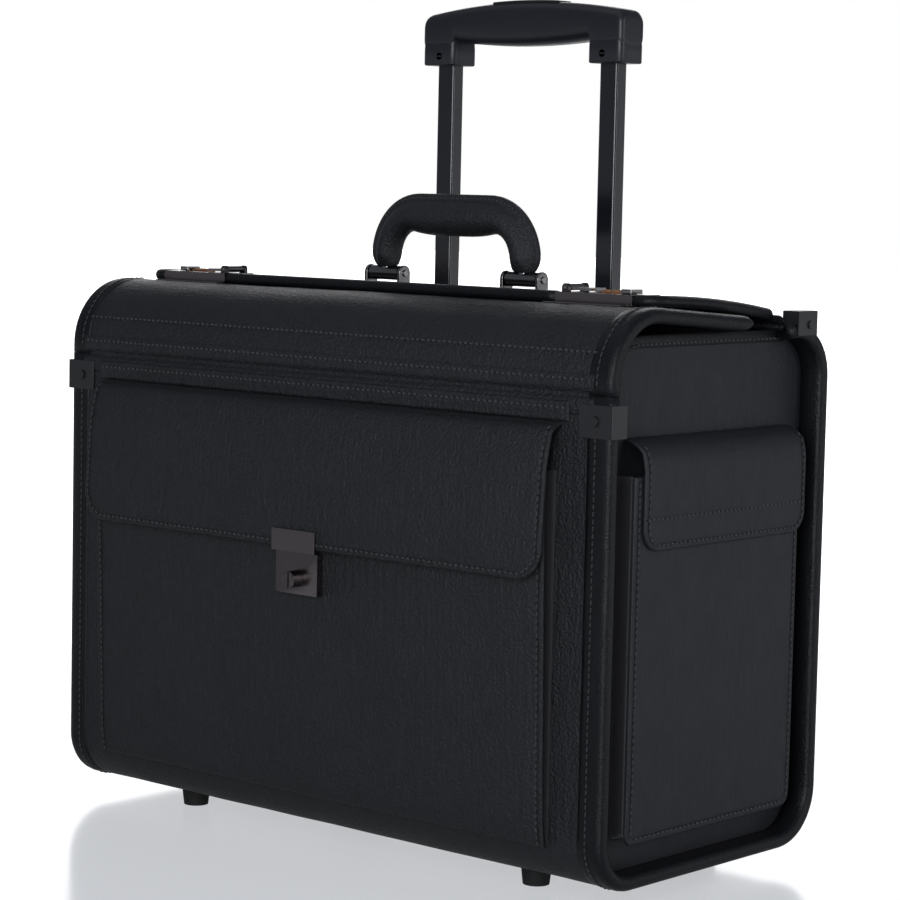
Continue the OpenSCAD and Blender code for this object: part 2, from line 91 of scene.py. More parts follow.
class Nodes:
    """Short forms for building one material's node tree."""

    def __init__(self, name):
        self.mat = bpy.data.materials.new(name)
        self.mat.use_nodes = True
        self.tree = self.mat.node_tree
        self.shader = self.tree.nodes["Principled BSDF"]
        self.coords = self.add("ShaderNodeTexCoord").outputs["Object"]

    def add(self, kind, **values):
        node = self.tree.nodes.new(kind)
        for key, value in values.items():
            setattr(node, key, value)
        return node

    def link(self, a, b):
        self.tree.links.new(a, b)

    def scaled(self, scale):
        node = self.add("ShaderNodeMapping")
        node.inputs["Scale"].default_value = scale
        self.link(self.coords, node.inputs["Vector"])
        return node.outputs["Vector"]

    def noise(self, scale, detail=3.0, rough=0.55, stretch=(1, 1, 1)):
        node = self.add("ShaderNodeTexNoise")
        node.inputs["Scale"].default_value = scale
        node.inputs["Detail"].default_value = detail
        node.inputs["Roughness"].default_value = rough
        self.link(self.scaled(stretch), node.inputs["Vector"])
        return node.outputs["Fac"]

    def voronoi(self, scale, feature="F1"):
        node = self.add("ShaderNodeTexVoronoi", feature=feature)
        node.inputs["Scale"].default_value = scale
        self.link(self.coords, node.inputs["Vector"])
        return node.outputs["Distance"]

    def ramp(self, fac, low, high, from_low=0.0, from_high=1.0):
        node = self.add("ShaderNodeMapRange")
        for key, value in zip(("From Min", "From Max", "To Min", "To Max"), (from_low, from_high, low, high)):
            node.inputs[key].default_value = value
        self.link(fac, node.inputs["Value"])
        return node.outputs["Result"]

    def math(self, op, a, b):
        node = self.add("ShaderNodeMath", operation=op)
        for socket, value in zip(node.inputs, (a, b)):
            if isinstance(value, (int, float)):
                socket.default_value = value
            else:
                self.link(value, socket)
        return node.outputs[0]

    def colour(self, fac, low, high):
        """A mix of two colours. The low one may be a node's output."""
        node = self.add("ShaderNodeMix", data_type="RGBA")
        self.link(fac, node.inputs["Factor"])
        if isinstance(low, tuple):
            node.inputs["A"].default_value = (*low, 1)
        else:
            self.link(low, node.inputs["A"])
        node.inputs["B"].default_value = (*high, 1)
        return node.outputs["Result"]

    def bump(self, height, strength, distance):
        node = self.add("ShaderNodeBump")
        node.inputs["Strength"].default_value = strength
        node.inputs["Distance"].default_value = distance
        self.link(height, node.inputs["Height"])
        self.link(node.outputs["Normal"], self.shader.inputs["Normal"])

    def set(self, **values):
        for key, value in values.items():
            self.shader.inputs[key.replace("_", " ")].default_value = value

    def pointy(self, low, high):
        """1 on sharp outer edges and 0 elsewhere, for wear and, on metal, a painted edge highlight."""
        geometry = self.add("ShaderNodeNewGeometry")
        return self.ramp(geometry.outputs["Pointiness"], 0, 1, low, high)


def scaled_colour(colour, k):
    return tuple(min(1, c * k) for c in colour)


def leather(name, colour, rough, pebble, streak, depth=0.00022, gloss=0.34):
    """Grained leather: pebble cells, stretched creases and fine pores, with slight colour variation."""
    n = Nodes(name)
    streaks = n.ramp(n.noise(streak * 1.6, 4, 0.65, (1, 1, 0.14)), 0, 0.5, 0.3, 0.7)
    patches = n.math("ADD", n.ramp(n.noise(14, 4), 0, 0.5), streaks)
    tone = n.colour(patches, scaled_colour(colour, 0.62), scaled_colour(colour, 1.45))
    worn = n.colour(n.math("MULTIPLY", n.pointy(0.53, 0.62), 0.3), tone, scaled_colour(colour, 2.2))
    n.link(worn, n.shader.inputs["Base Color"])
    cells = n.math("MULTIPLY", n.voronoi(pebble, "SMOOTH_F1"), 0.9)
    creases = n.math("MULTIPLY", n.noise(streak, 5, 0.6, (1, 1, 0.12)), 1.1)
    pores = n.math("MULTIPLY", n.noise(3200, 2), 0.35)
    height = n.math("ADD", n.math("ADD", cells, creases), pores)
    n.bump(height, 0.8, depth)
    smudge = n.ramp(n.noise(60, 4), rough - 0.05, rough + 0.07)
    n.link(n.math("ADD", smudge, n.ramp(creases, -0.09, 0.09)), n.shader.inputs["Roughness"])
    n.set(Specular_IOR_Level=gloss)
    return n.mat


def woven(name, colour, scale, rough=0.85):
    """Plain weave from two crossed waves, with fuzz."""
    n = Nodes(name)
    split = n.add("ShaderNodeSeparateXYZ")
    n.link(n.coords, split.inputs[0])
    level = n.math("ADD", split.outputs["X"], split.outputs["Y"])
    across = n.math("SINE", n.math("MULTIPLY", level, scale), 0)
    along = n.math("SINE", n.math("MULTIPLY", split.outputs["Z"], scale), 0)
    weave = n.math("MULTIPLY", across, along)
    fuzz = n.noise(900, 3)
    tone = n.colour(n.math("ADD", n.ramp(weave, 0, 0.5, -1, 1), n.ramp(fuzz, 0, 0.5)),
                    scaled_colour(colour, 0.6), scaled_colour(colour, 1.35))
    n.link(tone, n.shader.inputs["Base Color"])
    n.bump(n.math("ADD", weave, fuzz), 0.5, 0.0003)
    n.set(Roughness=rough, Sheen_Weight=0.25, Sheen_Roughness=0.5)
    return n.mat


def metal(name, colour, rough, brushed=(1, 1, 1), edge_wear_and_glint=0.4, dirt=0.5):
    """Plated metal: brushed micro-scratches, smudged roughness, and lighter sharp edges that are partly wear
    and partly a painted highlight.
    """
    n = Nodes(name)
    grain = n.noise(1400, 3, 0.6, brushed)
    smudge = n.noise(45, 4)
    tone = n.colour(smudge, scaled_colour(colour, 1 - 0.25 * dirt), scaled_colour(colour, 1.1))
    # Sharp edges lightened: partly wear, partly a painted highlight for light caught on the bevels.
    tone = n.colour(n.math("MULTIPLY", n.pointy(0.52, 0.6), edge_wear_and_glint), tone, scaled_colour(colour, 1.9))
    n.link(tone, n.shader.inputs["Base Color"])
    n.link(n.math("ADD", n.ramp(smudge, rough * 0.75, rough * 1.35), n.ramp(grain, -0.04, 0.04)),
           n.shader.inputs["Roughness"])
    n.bump(grain, 0.1, 0.00004)
    n.set(Metallic=1.0)
    return n.mat


def plastic(name, colour, rough, texture=1800, depth=0.00006, coat=0.0):
    """Moulded plastic with a fine spark-eroded texture and scuffed edges."""
    n = Nodes(name)
    tone = n.colour(n.noise(30, 3), scaled_colour(colour, 0.85), scaled_colour(colour, 1.15))
    tone = n.colour(n.math("MULTIPLY", n.pointy(0.53, 0.62), 0.3), tone, scaled_colour(colour, 3))
    n.link(tone, n.shader.inputs["Base Color"])
    n.link(n.ramp(n.noise(80, 4), rough - 0.05, rough + 0.07), n.shader.inputs["Roughness"])
    n.bump(n.noise(texture, 3), 0.4, depth)
    n.set(Coat_Weight=coat, Coat_Roughness=0.15)
    return n.mat


LEATHER = leather("front_leather", (0.0150, 0.0158, 0.0182), 0.40, 560, 300, 0.0011)
SIDE_LEATHER = leather("side_leather", (0.0185, 0.0192, 0.0228), 0.47, 900, 300, 0.0003)
HANDLE_LEATHER = leather("handle_leather", (0.0195, 0.0203, 0.0230), 0.40, 700, 420, 0.0008)
BINDING = leather("binding", (0.0080, 0.0084, 0.0100), 0.31, 850, 250, 0.00035, 0.22)
GUSSET = woven("gusset_fabric", (0.0065, 0.0065, 0.008), 3400)
LINING = woven("lining", (0.050, 0.051, 0.058), 2600)
THREAD = woven("thread", (0.024, 0.025, 0.029), 9000, 0.6)
# Near-black needle-hole discs: painted shade standing for the depth of the holes.
HOLE_SHADE = plastic("painted_hole_shade", (0.0015, 0.0015, 0.0018), 0.8)
# Gunmetal of the locks: its edges are lightened strongly, a painted highlight for the bright reflections on
# the bevels, with some wear.
GUNMETAL = metal("gunmetal", (0.098, 0.088, 0.088), 0.24, (0.05, 1, 1), 0.9)
NICKEL = metal("bright_metal", (0.22, 0.215, 0.215), 0.17, (0.05, 1, 1), 0.6)
BLACK_METAL = plastic("black_metal", (0.013, 0.013, 0.015), 0.38, 900, 0.00004, 0.1)
BRASS = metal("dial_brass", (0.50, 0.29, 0.17), 0.24, (1, 0.05, 0.05), 0.5)
STEEL = metal("steel", (0.40, 0.40, 0.41), 0.26, (0.05, 1, 1), 0.2)
ALUMINIUM = metal("tube_metal", (0.45, 0.46, 0.48), 0.30, (1, 1, 0.03), 0.2)
BLACK_TUBE = plastic("black_tube", (0.0090, 0.0098, 0.0140), 0.20, 2500, 0.000004, 0.6)
PLASTIC = plastic("moulded_plastic", (0.0155, 0.0160, 0.0215), 0.34)
BUTTON = plastic("button_plastic", (0.0080, 0.0080, 0.0095), 0.45)
RUBBER = plastic("rubber", (0.010, 0.010, 0.010), 0.72, 1200, 0.0001)

SLOT_MATERIAL = {
    "front_leather": LEATHER, "side_leather": SIDE_LEATHER, "handle_leather": HANDLE_LEATHER,
    "binding": BINDING, "gusset_fabric": GUSSET, "lining": LINING, "gunmetal": GUNMETAL,
    "bright_metal": NICKEL, "black_metal": BLACK_METAL, "dial_brass": BRASS, "steel": STEEL,
    "tube_metal": ALUMINIUM, "black_tube": BLACK_TUBE, "moulded_plastic": PLASTIC,
    "button_plastic": BUTTON, "rubber": RUBBER,
}

# ---------- mesh helpers ----------


def piece(name, verts, faces, material, body, slot, replaces=()):
    """A mesh piece that rides on a body."""
    mesh = bpy.data.meshes.new(name)
    mesh.from_pydata([tuple(v) for v in verts], [], faces)
    mesh.validate()
    bm = bmesh.new()
    bm.from_mesh(mesh)
    bmesh.ops.recalc_face_normals(bm, faces=bm.faces)
    bm.to_mesh(mesh)
    bm.free()
    obj = bpy.data.objects.new(name, mesh)
    bpy.context.scene.collection.objects.link(obj)
    mesh.materials.append(material)
    mesh.polygons.foreach_set("use_smooth", [True] * len(mesh.polygons))
    if body:
        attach(obj, body)
    if replaces:
        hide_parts(*replaces)
    return obj


def soften(obj, width, segments=3, angle=35):
    """Rounds an object's hard edges and keeps its flats flat."""
    bevel = obj.modifiers.new("bevel", "BEVEL")
    bevel.width = width
    bevel.segments = segments
    bevel.limit_method = "ANGLE"
    bevel.angle_limit = math.radians(angle)
    bevel.harden_normals = False
    normals = obj.modifiers.new("normals", "WEIGHTED_NORMAL")
    normals.keep_sharp = True
    return obj


def subdivide(obj, levels=1):
    modifier = obj.modifiers.new("subdivide", "SUBSURF")
    modifier.levels = levels
    modifier.render_levels = levels
    return obj


def rounded(points, step=8, arc_step=math.radians(7.5)):
    """An open polyline with rounded corners. points are (a, b, radius) in mm; returns (points, outward
    normals). Outward is to the right of the direction of travel."""
    pts = [np.array(p[:2], float) for p in points]
    last = len(pts) - 1
    stops = []
    for i, (a, b, radius) in enumerate(points):
        if radius <= 0 or i in (0, last):
            stops.append((pts[i], pts[i], None, 0, 0))
            continue
        before = pts[i - 1] - pts[i]
        after = pts[i + 1] - pts[i]
        before /= np.linalg.norm(before)
        after /= np.linalg.norm(after)
        half = math.acos(max(-1, min(1, before @ after))) / 2
        reach = radius / math.tan(half)
        centre = pts[i] + (before + after) / np.linalg.norm(before + after) * radius / math.sin(half)
        stops.append((pts[i] + before * reach, pts[i] + after * reach, centre, radius, math.pi - 2 * half))
    out, normals = [], []

    def push(p, n):
        if out and np.linalg.norm(out[-1] - p) < 1e-6:
            return
        out.append(p)
        normals.append(n)

    for i, (enter, leave, centre, radius, turn) in enumerate(stops):
        if centre is not None:
            steps = max(2, math.ceil(turn / arc_step))
            a0 = enter - centre
            side = np.sign(a0[0] * (leave - centre)[1] - a0[1] * (leave - centre)[0])
            for k in range(steps + 1):
                ang = side * turn * k / steps
                c, s = math.cos(ang), math.sin(ang)
                spoke = np.array([a0[0] * c - a0[1] * s, a0[0] * s + a0[1] * c])
                push(centre + spoke, spoke / radius * (1 if side > 0 else -1))
        if i == last:
            d = pts[i] - pts[i - 1]
            d /= np.linalg.norm(d)
            push(pts[i], np.array([d[1], -d[0]]))
            break
        d = stops[i + 1][0] - leave
        length = np.linalg.norm(d)
        if length < 1e-7:
            continue
        d /= length
        n = np.array([d[1], -d[0]])
        pieces = max(1, round(length / step))
        for k in range(pieces + 1):
            push(leave + d * length * k / pieces, n)
    return np.array(out), np.array(normals)


def tube_faces(rings, section):
    """Faces of a closed section carried along rings of vertices, with a cap on both ends."""
    faces = []
    for i in range(rings - 1):
        a, b = i * section, (i + 1) * section
        for j in range(section):
            k = (j + 1) % section
            faces.append((a + j, a + k, b + k, b + j))
    faces.append(tuple(range(section)))
    faces.append(tuple((rings - 1) * section + j for j in reversed(range(section))))
    return faces


def shifted(faces, by):
    """Faces for vertices that come after by others."""
    return [tuple(by + i for i in f) for f in faces]


def sweep(path, normals, side, section):
    """Vertices and faces of a closed section carried along a 3-D path. section(i) gives the ring's
    (side offset, normal offset) pairs in mm."""
    side = Vector(side)
    verts = []
    for i, (p, n) in enumerate(zip(path, normals)):
        verts += [p + side * (u * MM) + n * (v * MM) for u, v in section(i)]
    return verts, tube_faces(len(path), len(section(0)))


def round_section(w, h, r, steps=4):
    """A rounded rectangle section, w by h, as a list of (u, v)."""
    out = []
    for cx, cy, a0 in ((1, 1, 0), (-1, 1, 90), (-1, -1, 180), (1, -1, 270)):
        for k in range(steps + 1):
            a = math.radians(a0 + 90 * k / steps)
            out.append((cx * (w / 2 - r) + r * math.cos(a), cy * (h / 2 - r) + r * math.sin(a)))
    return out


def shell(outer, inner, keep=None):
    """A sheet with two skins from two grids of points, walled along every edge of the kept cells."""
    rows, cols = len(outer), len(outer[0])
    verts = [p for row in outer for p in row] + [p for row in inner for p in row]
    base = rows * cols

    def kept(i, j):
        return 0 <= i < rows - 1 and 0 <= j < cols - 1 and (keep is None or keep(i, j))

    faces = []
    for i in range(rows - 1):
        for j in range(cols - 1):
            if not kept(i, j):
                continue
            a, b, c, d = i * cols + j, i * cols + j + 1, (i + 1) * cols + j + 1, (i + 1) * cols + j
            faces += [(a, b, c, d), (d + base, c + base, b + base, a + base)]
            for p, q, di, dj in ((b, a, -1, 0), (d, c, 1, 0), (a, d, 0, -1), (c, b, 0, 1)):
                if not kept(i + di, j + dj):
                    faces.append((p, q, q + base, p + base))
    return verts, faces


def resample(points, normals, pitch):
    """Points a fixed distance apart along a 3-D polyline, each with its direction and outward normal."""
    lengths = [0.0]
    for a, b in zip(points, points[1:]):
        lengths.append(lengths[-1] + (b - a).length)
    count = max(2, round(lengths[-1] / pitch))
    out, k = [], 0
    for i in range(count):
        s = (i + 0.5) * lengths[-1] / count
        while k < len(points) - 2 and lengths[k + 1] < s:
            k += 1
        t = (s - lengths[k]) / max(1e-9, lengths[k + 1] - lengths[k])
        heading = (points[k + 1] - points[k]).normalized()
        outward = normals[k].lerp(normals[k + 1], t).normalized()
        out.append((points[k].lerp(points[k + 1], t), heading, outward))
    return out


STITCH_RINGS = ((-0.5, 0.4), (-0.34, 0.9), (0.0, 1.0), (0.34, 0.9), (0.5, 0.4))


def stitches(name, lines, body, slot="front_leather", pitch=4.4, length=3.0, width=0.62):
    """Thread stitches along several lines, with a near-black disc between each two: painted shade for
    the needle hole. A line is a list of points and a list of outward normals."""
    verts, faces, shade_discs = [], [], []
    length, width, hole = length * MM, width * MM, 0.62 * MM
    for points, normals in lines:
        for p, d, out in resample(points, normals, pitch * MM):
            side = d.cross(out).normalized()
            for s in (-1, 1):
                centre = p + d * (s * (length * 0.5 + hole * 0.55)) + out * (0.16 * MM)
                base = len(verts)
                for level in (0, -0.5 * MM):
                    verts += [centre + out * level + d * (math.cos(k * math.pi / 4) * hole)
                              + side * (math.sin(k * math.pi / 4) * hole * 0.8) for k in range(8)]
                shade_discs.append(len(faces))
                faces.append(tuple(base + k for k in range(8)))
                faces.append(tuple(base + 8 + k for k in reversed(range(8))))
                for k in range(8):
                    a, b = base + k, base + (k + 1) % 8
                    faces.append((a, a + 8, b + 8, b))
            d = (d + side * (0.10 + (rng.random() - 0.5) * 0.16)).normalized()
            side = d.cross(out).normalized()
            base = len(verts)
            for t, r in STITCH_RINGS:
                lift = out * (width * (0.34 - 1.1 * abs(t) ** 2.2))
                for k in range(6):
                    a = k * math.pi / 3
                    verts.append(p + d * (t * length) + lift
                                 + side * (math.cos(a) * width * r) + out * (math.sin(a) * width * 0.75 * r))
            for i in range(4):
                for k in range(6):
                    a, b = base + i * 6 + k, base + i * 6 + (k + 1) % 6
                    faces.append((a, b, b + 6, a + 6))
            faces.append(tuple(base + k for k in reversed(range(6))))
            faces.append(tuple(base + 24 + k for k in range(6)))
    obj = piece(name, verts, faces, THREAD, body, slot)
    # The near-black discs between stitches are painted shade for the needle holes.
    obj.data.materials.append(HOLE_SHADE)
    for start in shade_discs:
        for i in range(start, start + 10):
            obj.data.polygons[i].material_index = 1
    return obj


SIDES = (("left", -1), ("right", 1))


def mm(x, y, z):
    """A point in the frame from millimetres: X, depth behind the front face, height."""
    return Vector((x * MM, FRONT + y * MM, z * MM))


def path_yz(points, x, **steps):
    """Frame points and outward normals at X along a rounded side outline given in (Y, Z) millimetres."""
    pts, nrm = rounded(points, **steps)
    return [mm(x, *p) for p in pts], [Vector((0, *n)) for n in nrm]


# ---------- leather sheets ----------

EDGE_STOPS = (0, 0.35, 0.9, 1.8, 2.8, 3.8, 5.0, 7.5, 12, 18)


def graded(low, high, step=8, edges=(True, True), extra=()):
    """Stops from low to high, close together by the edges asked for."""
    stops = {low, high}
    if edges[0]:
        stops.update(low + e for e in EDGE_STOPS)
    if edges[1]:
        stops.update(high - e for e in EDGE_STOPS)
    inner = (low + 18 if edges[0] else low, high - 18 if edges[1] else high)
    if inner[1] - inner[0] > step:
        stops.update(np.linspace(*inner, round((inner[1] - inner[0]) / step) + 1))
    stops.update(e for e in extra if low < e < high)
    out = []
    for s in sorted(stops):
        if low <= s <= high and (not out or s - out[-1] > 0.15):
            out.append(s)
    out[-1] = high
    return out


def border_distance(points, outline):
    """Distance of each 2-D point to a closed outline."""
    p = np.array(points, float)
    a = np.array(outline, float)
    b = np.roll(a, -1, axis=0)
    best = np.full(len(p), 1e9)
    for s, e in zip(a, b):
        d = e - s
        t = np.clip(((p - s) @ d) / max(1e-9, d @ d), 0, 1)
        best = np.minimum(best, np.linalg.norm(p - s - t[:, None] * d, axis=1))
    return best


def slab(name, rows, span, place, thick, material, body, slot, replaces=(), columns=8, extra=(), keep=None,
         puff=(0, 12), back_puff=0, wave=0.25, seams=(), edge=0.9):
    """A leather or cloth sheet. rows are stops along the sheet, span(u) gives its two sides there in mm,
    and place(u, v, out) the point at that place, out mm above the outer face. Its border is rounded, it
    swells by puff[0] mm over puff[1] mm from the border, and it dips at each seam's distance from the
    border."""
    low, high = min(span(u)[0] for u in rows), max(span(u)[1] for u in rows)
    across = graded(low, high, columns, extra=extra)
    flat = []
    for u in rows:
        v0, v1 = span(u)
        line = []
        for v in across:
            if v <= low + 18:
                line.append(v0 + (v - low))
            elif v >= high - 18:
                line.append(v1 - (high - v))
            else:
                t = (v - low - 18) / (high - low - 36)
                line.append(v if extra else v0 + 18 + t * (v1 - v0 - 36))
        flat.append([(v, u) for v in line])
    outline = flat[0] + [r[-1] for r in flat[1:-1]] + flat[-1][::-1] + [r[0] for r in flat[-2:0:-1]]
    gaps = border_distance([p for r in flat for p in r], outline).reshape(len(rows), len(across))
    outer, inner = [], []
    for i, row in enumerate(flat):
        outs, ins = [], []
        for j, (v, u) in enumerate(row):
            e = gaps[i][j]
            rise = puff[0] * (1 - math.exp(-e / puff[1])) + ripple(v * MM, u * MM, wave) * min(1, e / 10)
            turned = max(0, 1 - e / (1.4 * edge)) ** 2
            rise -= edge * turned
            rise -= sum(0.35 * math.exp(-((e - s) / 1.1) ** 2) for s in seams)
            outs.append(place(u, v, rise))
            back = back_puff * (1 - math.exp(-e / puff[1]))
            ins.append(place(u, v, -thick - back + edge * 0.6 * turned))
        outer.append(outs)
        inner.append(ins)
    keep_cell = None
    if keep:
        def keep_cell(i, j):
            corners = flat[i][j], flat[i + 1][j + 1]
            return keep((corners[0][1] + corners[1][1]) / 2, (corners[0][0] + corners[1][0]) / 2)
    verts, faces = shell(outer, inner, keep_cell)
    return piece(name, verts, faces, material, body, slot, replaces)


def seam_line(place, outline, inset, out=0.0):
    """A stitch line: an outline in (v, u) mm moved inwards and laid on the sheet that place describes."""
    pts, nrm = rounded(outline, step=4)
    points, normals = [], []
    for p, n in zip(pts, nrm):
        v, u = p - n * inset
        at0 = place(u, v, out)
        points.append(at0)
        normals.append((place(u, v, out + 1) - at0).normalized())
    return points, normals


# ---------- body: wrap, rims, ends ----------

BENDS = [(0, BOTTOM, FRONT_R), (DEPTH, BOTTOM, REAR_R), (DEPTH, TOP, TOP_R)]
BODY_PATH = [(0, 308.5, 0)] + BENDS + [(190, TOP, 0)]
# What comes through the leather: the wheel housings' sides, front and top, and the bezels round the tubes
WHEEL_IN, WHEEL_OUT, WHEEL_FRONT, WHEEL_TOP = 131, 169, 171, 61
TUBE_X, TUBE_Y = 73, 205
BEZEL_W, BEZEL_D = 11.5, 9.6


def calm(x):
    """1 over the middle of a sheet, falling to 0 by the rims."""
    return min(1, max(0, (219 - abs(x)) / 25))


def in_hole(x, y, z):
    """Places of the leather that the wheel housings and the trolley bezels come through."""
    wheel = WHEEL_IN < abs(x) < WHEEL_OUT and y > WHEEL_FRONT and z < WHEEL_TOP
    tube = abs(abs(x) - TUBE_X) < BEZEL_W and abs(y - TUBE_Y) < BEZEL_D and z > TOP - 22
    return wheel or tube


wrap_pts, wrap_nrm = rounded(BODY_PATH, step=8, arc_step=math.radians(5))
hole_xs = [s * v for v in (TUBE_X - BEZEL_W, TUBE_X + BEZEL_W, WHEEL_IN, WHEEL_OUT) for s in (-1, 1)]
wrap_xs = graded(-HALF, HALF, 9, extra=hole_xs)
relief = [[ripple(x * MM, i * 8 * MM, 0.3) * calm(x) for x in wrap_xs] for i in range(len(wrap_pts))]
outer = [[mm(x, *(p + n * g)) for x, g in zip(wrap_xs, row)] for p, n, row in zip(wrap_pts, wrap_nrm, relief)]
inner = [[mm(x, *(p - n * 4)) for x in wrap_xs] for p, n in zip(wrap_pts, wrap_nrm)]


def wrap_kept(i, j):
    y, z = (wrap_pts[i] + wrap_pts[i + 1]) / 2
    return not in_hole((wrap_xs[j] + wrap_xs[j + 1]) / 2, y, z)


piece("wrap_leather", *shell(outer, inner, wrap_kept), LEATHER, "case", "front_leather", ["wrap_shell"])

# Rim binding: a padded bead over the board's edge, with a flange that is sewn to the wrap
RIM_SECTION = [
    (-9, 0), (-9, 0.12), (-6, 0.32), (-2.8, 0.42), (0.6, 0.5), (3.6, 0.62), (6.4, 0.15), (8.4, -1.2),
    (9.1, -3.4), (9, -5.8), (8, -7.9), (5.6, -9), (0, -9.1), (-7.4, -8.8), (-7.4, -4.1), (-0.1, -4.1),
    (-0.1, 0)]


def flush(section):
    """A rim section drawn back behind the hinge's axis, for the two ends that meet at the hinge."""
    return [(u, min(v, -0.35)) for u, v in section]


RIM_PATH = [(0, 313.9, 0)] + BENDS + [(186, TOP, 0)]
for side, k in SIDES:
    pts, nrm = path_yz(RIM_PATH, k * HALF, step=9, arc_step=math.radians(5))
    verts, faces = sweep(pts, nrm, (k, 0, 0), lambda i: flush(RIM_SECTION) if i == 0 else RIM_SECTION)
    piece(side + "_rim", verts, faces, BINDING, "case", "binding", [side + "_rim_binding"])

# The lid's rim runs back beside the rear lid, sinks a little and ends in a rounded tip
TIP_YS = (141, 140.9, 140.6, 140.1, 139.3, 138.2, 136.8, 135.2)
TIP_START, TIP_LENGTH = TIP_YS[-1], 5.85
LID_PATH = [(y, LID_TOP - 7 * (y - 49.5) / 91.5, 0) for y in TIP_YS]
LID_PATH += [(49.5, LID_TOP, 40), (0, LID_TOP, LID_R), (0, 314.1, 0)]
for side, k in SIDES:
    pts, nrm = path_yz(LID_PATH, k * HALF, step=6, arc_step=math.radians(5))
    ys = [(p.y - FRONT) / MM for p in pts]

    def lid_section(i, ys=ys):
        slim = ys[i] > 56.9
        past = max(0, ys[i] - TIP_START) / TIP_LENGTH
        shrink = max(0.12, math.sqrt(max(0, 1 - past ** 2)))
        section = [((max(u, 0.15) if slim else u), (v + 3.9) * shrink - 3.9) for u, v in RIM_SECTION]
        return flush(section) if i == len(ys) - 1 else section

    verts, faces = sweep(pts, nrm, (k, 0, 0), lid_section)
    piece(side + "_lid_rim", verts, faces, BINDING, "front_lid", "binding", ["front_lid_bindings"])


def end_span(z):
    """Front and rear sides of the end panel at height z, in mm."""
    low, high = 4, 223
    if z < 45:
        low = 32 - math.sqrt(max(0, 28 ** 2 - (45 - z) ** 2))
    if z > 313.5:
        low = 6.5 if z < 310 else 44.5 - math.sqrt(max(0, 38 ** 2 - (z - 310) ** 2))
    if z < 50:
        high = 190 + math.sqrt(max(0, 33 ** 2 - (50 - z) ** 2))
    if z > 318:
        high = 193 + math.sqrt(max(0, 30 ** 2 - (z - 318) ** 2))
    return low, high


end_rows = graded(17.05, 347.95, 9, extra=(21, 25, 30, 36, 322, 328, 334, 339, 343))
for side, k in SIDES:
    slab(side + "_end_leather", end_rows, end_span, lambda z, y, out, k=k: mm(k * (223.4 + out), y, z), 4,
         SIDE_LEATHER, "case", "side_leather", [side + "_end_panel"], puff=(0.7, 20), wave=0.3, edge=0.3)

# Binding tape along the top edge of each end panel
TAPE = [(-0.2, 0.4), (1.3, 0.5), (1.9, -0.4), (1.9, -6.6), (1.4, -7.2), (-0.2, -7.2)]
TAPE_PATH = [(195, 348.2, 0), (6.3, 348.2, 38.5), (6.3, 311, 0)]
for side, k in SIDES:
    pts, nrm = path_yz(TAPE_PATH, k * 223.6, step=8, arc_step=math.radians(6))
    verts, faces = sweep(pts, nrm, (k, 0, 0), lambda i: TAPE)
    piece(side + "_end_tape", verts, faces, BINDING, "case", "binding")

# ---------- front lid ----------

LID_SHEET = [(56.8, LID_TOP, 0), (0, LID_TOP, LID_R), (0, 319.5, 0)]
lid_pts, lid_nrm = rounded(LID_SHEET, step=6, arc_step=math.radians(5))
lid_xs = graded(-HALF, HALF, 9)
outer, inner = [], []
for i, (p, n) in enumerate(zip(lid_pts, lid_nrm)):
    drop = -0.8 if i == 0 else 0
    outer.append([mm(x, *(p + n * (ripple(x * MM, i * 6 * MM, 0.3) * calm(x) + drop))) for x in lid_xs])
    inner.append([mm(x, *(p - n * (4 + drop))) for x in lid_xs])
piece("front_lid_leather", *shell(outer, inner), LEATHER, "front_lid", "front_leather", ["front_lid_panel"])

# Living hinge of the front lid: leather that dips between the lid and the wall
HINGE_ROWS = [
    (302, 0.2), (304, 0.55), (306, 0.75), (308, 0.95), (310, 0.95), (311.3, 0.55), (312.4, -0.35),
    (313.4, -1.1), (314.4, -1.35), (315.4, -1.1), (316.4, -0.35), (317.5, 0.55), (319, 1.0), (321, 0.9),
    (323, 0.7), (325, 0.5), (326.5, 0.15)]
hinge_xs = graded(-226, 226, 9)
outer = [[mm(x, -n - ripple(x * MM, z * MM, 0.12), z) for x in hinge_xs] for z, n in HINGE_ROWS]
inner = [[mm(x, min(3.2, -n + 3.2), z) for x in hinge_xs] for z, n in HINGE_ROWS]
hinge = piece("front_lid_hinge_leather", *shell(outer, inner), LEATHER, None, "front_leather")
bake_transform(hinge)

# ---------- rear lid ----------


def lid_height(y):
    """Height of the rear lid's mid surface at depth y: a crown that falls towards the back."""
    return 368 - 11 * ((y - 55) / 130) ** 2


def lid_normal(y):
    slope = -22 * (y - 55) / 130 ** 2
    return Vector((0, -slope, 1)).normalized()


def on_lid(y, x, out):
    """A point out mm above the rear lid's leather."""
    return mm(x, y, lid_height(y) + 2.5) + lid_normal(y) * (out * MM)


def lid_span(y):
    half = 220.5
    if y < 73.5:
        half = 211.5 + math.sqrt(max(0, 9 ** 2 - (73.5 - y) ** 2))
    return -half, half


# The lock boxes' inner and outer sides and their rear edge
LOCK_IN, LOCK_OUT, LOCK_REAR = 147.5, 208, 85.5
lock_edges = (-LOCK_OUT, -LOCK_IN, LOCK_IN, LOCK_OUT)
slab("rear_lid_leather", graded(64.5, 177, 8, extra=(66, 68, 71, LOCK_REAR)), lid_span, on_lid, 4, LEATHER,
     "rear_lid", "front_leather", ["rear_lid_panel"], columns=9, extra=lock_edges, puff=(0.8, 14), wave=0.35,
     edge=0.5, keep=lambda y, x: not (LOCK_IN < abs(x) < LOCK_OUT and y < LOCK_REAR))


# Section of the round bead, 3.9 mm up and 3.6 mm to the side from its middle
BEAD = [(3.9 * math.cos(a), 3.6 * math.sin(a)) for a in (math.pi * k / 8 for k in range(16))]


def frame_run(plan):
    pts, nrm = rounded(plan, step=8, arc_step=math.radians(9))
    return [mm(x, y, lid_height(y) + 0.3) for x, y in pts], [Vector((n[0], n[1], 0)) for n in nrm]


